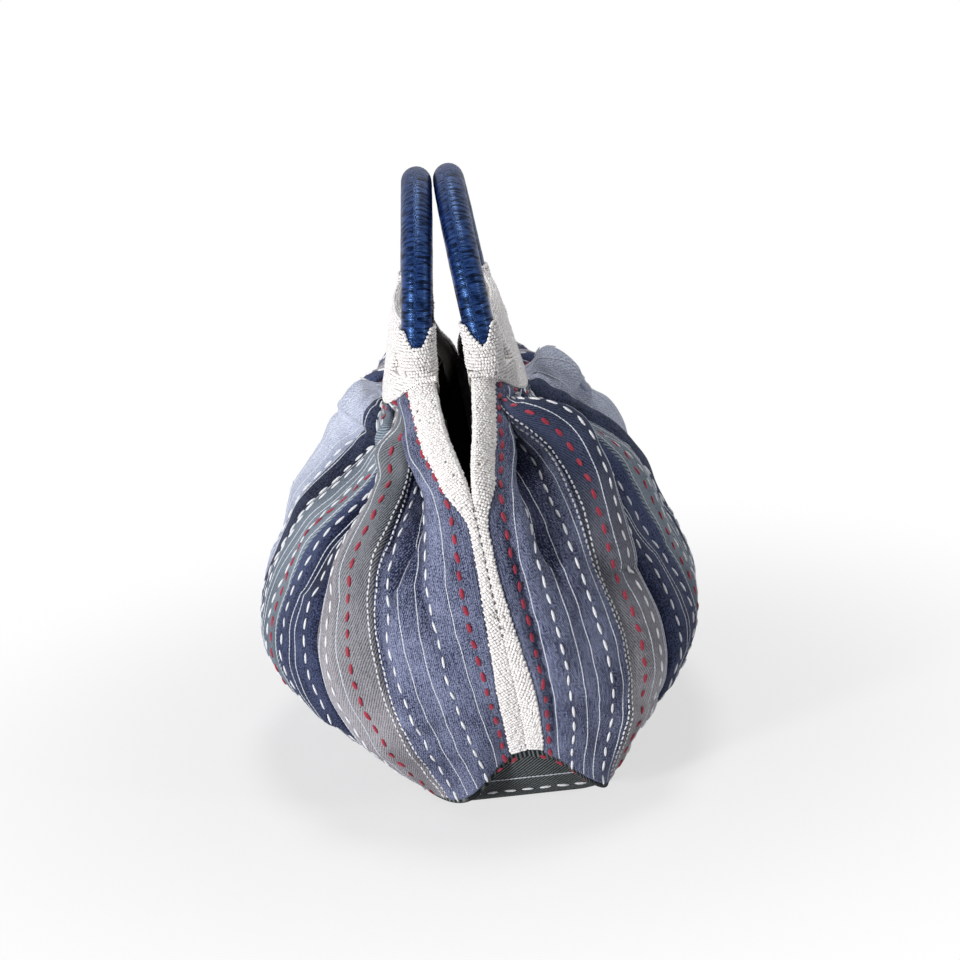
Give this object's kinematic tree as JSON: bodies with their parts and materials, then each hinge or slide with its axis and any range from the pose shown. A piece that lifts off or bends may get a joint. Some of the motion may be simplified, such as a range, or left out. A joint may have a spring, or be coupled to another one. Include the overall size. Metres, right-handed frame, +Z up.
{
  "type": "patchwork bag",
  "caption": "Soft gathered patchwork bag with a boat-shaped body, beaded yokes and edgings, open end slits and thread-wound arch handles that tilt.",
  "frame": {"origin": "under the middle of the base, on the surface that the bag stands on", "axes": "+X along the bag towards the end that the picture shows, +Y across it to the back, +Z up"},
  "size_m": [0.3486, 0.2637, 0.3444],
  "materials": {
    "blue_denim": "mid-blue denim with running stitches",
    "grey_twill": "grey twill with running stitches",
    "navy_denim": "navy denim",
    "blue_twill": "blue-grey diagonal twill",
    "dark_denim": "near-black denim",
    "pale_chambray": "pale chambray",
    "base_twill": "dark grey-green twill",
    "lining_cotton": "dark cotton",
    "white_beads": "white seed beads",
    "blue_thread": "glossy wound thread",
    "core": "bent cane"
  },
  "bodies": {
    "bag": {"front_patch_blue": "blue_denim", "front_patch_far_blue": "blue_denim", "front_patch_grey": "grey_twill", "front_patch_far_grey": "grey_twill", "front_patch_navy": "navy_denim", "front_patch_far_navy": "navy_denim", "front_patch_twill": "blue_twill", "front_patch_dark": "dark_denim", "front_patch_pale": "pale_chambray", "front_near_edging": "white_beads", "front_far_edging": "white_beads", "front_yoke": "white_beads", "lining_front": "lining_cotton", "back_patch_blue": "blue_denim", "back_patch_far_blue": "blue_denim", "back_patch_grey": "grey_twill", "back_patch_far_grey": "grey_twill", "back_patch_navy": "navy_denim", "back_patch_far_navy": "navy_denim", "back_patch_twill": "blue_twill", "back_patch_dark": "dark_denim", "back_patch_pale": "pale_chambray", "back_near_edging": "white_beads", "back_far_edging": "white_beads", "back_yoke": "white_beads", "lining_back": "lining_cotton", "base_panel": "base_twill", "lining_base": "lining_cotton"},
    "front_handle": {"front_handle_winding": "blue_thread", "front_handle_core": "core", "front_near_sleeve": "white_beads", "front_far_sleeve": "white_beads"},
    "back_handle": {"back_handle_winding": "blue_thread", "back_handle_core": "core", "back_near_sleeve": "white_beads", "back_far_sleeve": "white_beads"}
  },
  "joints": [
    {"name": "front_handle_tilt", "type": "hinge", "parent": "bag", "child": "front_handle", "pos_m": [0, -0.0185, 0.256], "axis": [1, 0, 0], "range_deg": [0, 95]},
    {"name": "back_handle_tilt", "type": "hinge", "parent": "bag", "child": "back_handle", "pos_m": [0, 0.0185, 0.256], "axis": [-1, 0, 0], "range_deg": [0, 95]}
  ]
}
